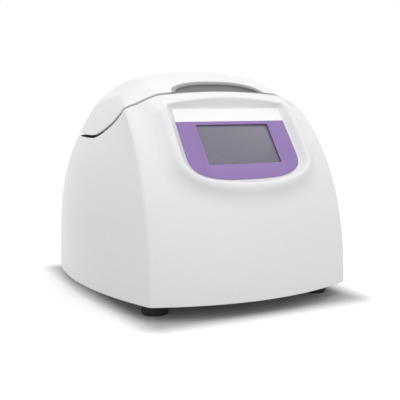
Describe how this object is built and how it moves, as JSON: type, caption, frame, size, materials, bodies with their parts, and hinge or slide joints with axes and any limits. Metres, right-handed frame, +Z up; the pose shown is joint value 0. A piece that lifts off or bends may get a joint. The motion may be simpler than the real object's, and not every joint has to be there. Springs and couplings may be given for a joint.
{
  "type": "low-speed bench centrifuge",
  "caption": "Low-speed bench centrifuge for 15 mL tubes: domed rear-hinged lid with finger grip, fixed-angle rotor with lift-out sleeves, tilted display panel and lid locks.",
  "frame": {"origin": "centre of the footprint, on the surface that the four rubber feet stand on", "axes": "+Z up; +Y to the rear, so the control panel faces -Y; +X to the right of someone who faces the panel"},
  "size_m": [0.3154, 0.358, 0.2688],
  "materials": {
    "white_shell": "satin",
    "grip": "satin",
    "overlay": "satin",
    "display": "smooth",
    "black_plastic": "matte",
    "liner": "matte",
    "rubber": "matte",
    "steel": "brushed",
    "zinc_sheet": "zinc plated",
    "rotor": "anodised",
    "sleeve": "satin",
    "circuit_board": "solder mask",
    "motor": "satin",
    "supply_case": "plain"
  },
  "bodies": {
    "base": {"housing_shell": "white_shell", "base_pan": "zinc_sheet", "foot_front_left": "rubber", "foot_rear_left": "rubber", "foot_front_right": "rubber", "foot_rear_right": "rubber", "control_overlay": "overlay", "display_screen": "display", "display_module": "black_plastic", "control_board": "circuit_board", "inner_deck": "liner", "chamber_bowl": "steel", "chamber_gasket": "rubber", "motor_plate": "zinc_sheet", "motor_isolator_1": "rubber", "motor_isolator_2": "rubber", "motor_isolator_3": "rubber", "drive_motor": "motor", "shaft_boot": "rubber", "lid_lock_left": "black_plastic", "lid_lock_right": "black_plastic", "hinge_leaf_housing_left": "white_shell", "hinge_leaf_housing_right": "white_shell", "hinge_pin_left": "steel", "hinge_pin_right": "steel", "hinge_spring_left": "steel", "hinge_spring_right": "steel", "power_supply": "supply_case", "drive_board": "circuit_board", "power_inlet": "black_plastic", "fuse_holder": "black_plastic", "switch_frame": "black_plastic", "fan_frame": "black_plastic", "fan_guard": "steel"},
    "lid": {"lid_shell": "white_shell", "grip_insert": "grip", "lid_liner": "liner", "lock_strike_left": "steel", "lock_strike_right": "steel", "hinge_leaf_lid_left": "white_shell", "hinge_leaf_lid_right": "white_shell"},
    "rotor": {"spindle": "steel", "rotor_head": "rotor", "tube_sleeve_1": "sleeve", "tube_sleeve_2": "sleeve", "tube_sleeve_3": "sleeve", "tube_sleeve_4": "sleeve", "tube_sleeve_5": "sleeve", "tube_sleeve_6": "sleeve", "tube_sleeve_7": "sleeve", "tube_sleeve_8": "sleeve"},
    "nut": {"rotor_nut": "black_plastic"},
    "bolt_left": {"lock_bolt_left": "steel"},
    "bolt_right": {"lock_bolt_right": "steel"},
    "fuse_tray": {"fuse_drawer": "black_plastic", "fuse": "steel"},
    "rocker": {"power_rocker": "black_plastic"},
    "fan": {"fan_impeller": "black_plastic"}
  },
  "joints": [
    {"name": "lid_hinge", "type": "hinge", "parent": "base", "child": "lid", "pos_m": [0, 0.13577, 0.19187], "axis": [-1, 0, 0], "range_deg": [0, 75], "deforming": ["hinge_spring_left", "hinge_spring_right"]},
    {"name": "rotor_spin", "type": "hinge", "parent": "base", "child": "rotor", "pos_m": [0, 0.039, 0.096], "axis": [0, 0, 1], "continuous": true},
    {"name": "nut_turn", "type": "hinge", "parent": "rotor", "child": "nut", "pos_m": [0, 0.039, 0.151], "axis": [0, 0, 1], "continuous": true},
    {"name": "lock_bolt_left_slide", "type": "slide", "parent": "base", "child": "bolt_left", "axis": [1, 0, 0], "range_m": [0, 0.007]},
    {"name": "lock_bolt_right_slide", "type": "slide", "parent": "base", "child": "bolt_right", "axis": [-1, 0, 0], "range_m": [0, 0.007]},
    {"name": "fuse_drawer_slide", "type": "slide", "parent": "base", "child": "fuse_tray", "axis": [0, 1, 0], "range_m": [0, 0.022]},
    {"name": "power_rocker_tilt", "type": "hinge", "parent": "base", "child": "rocker", "pos_m": [-0.008, 0.1495, 0.057], "axis": [-1, 0, 0], "range_deg": [0, 16]},
    {"name": "fan_spin", "type": "hinge", "parent": "base", "child": "fan", "pos_m": [0.034, 0.147, 0.058], "axis": [0, 1, 0], "continuous": true}
  ]
}
